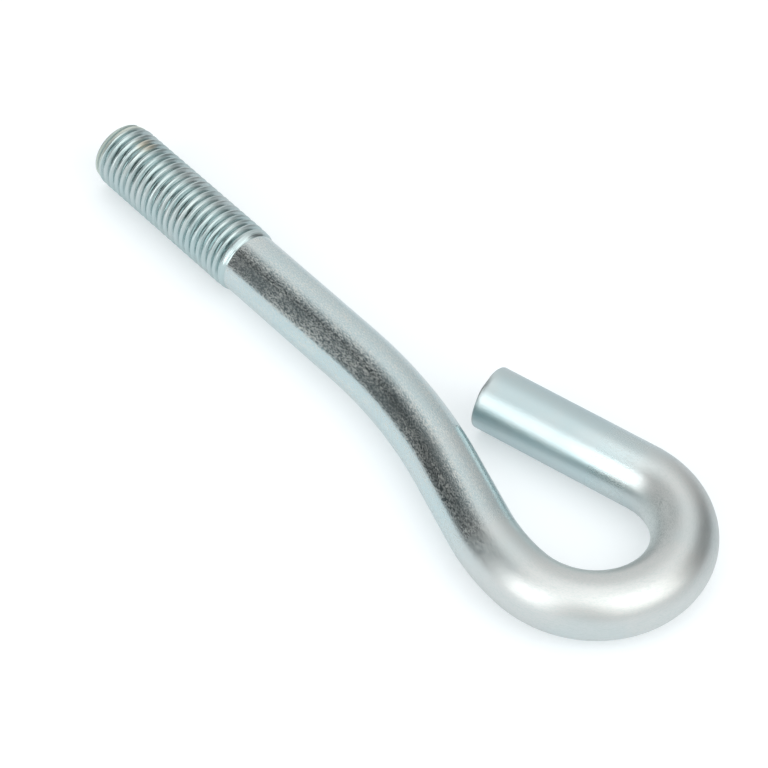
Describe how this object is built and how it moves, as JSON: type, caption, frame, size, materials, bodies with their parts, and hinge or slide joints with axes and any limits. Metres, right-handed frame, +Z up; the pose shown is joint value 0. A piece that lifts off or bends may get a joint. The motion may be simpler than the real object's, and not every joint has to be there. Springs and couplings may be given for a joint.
{
  "type": "foundation bolt",
  "caption": "Hooked foundation bolt: round bar with a rolled thread at one end, a shallow set bend and a long hook that closes back beside the shank.",
  "frame": {"origin": "on the thread's axis, at the first full turn of thread, 3.3 mm in from the end face", "axes": "the bolt lies on its side with all its bends in the XY plane; -X points out of the threaded end, +X runs along the shank to the hook, +Y is the side on which the hook closes, +Z is up"},
  "size_m": [0.181, 0.0539, 0.016],
  "materials": {
    "zinc_plated_steel": "electroplated zinc with a clear blue-white passivate, satin, grainy where the bar was drawn and bent"
  },
  "bodies": {
    "root": {"hooked_bolt": "zinc_plated_steel"}
  },
  "joints": []
}
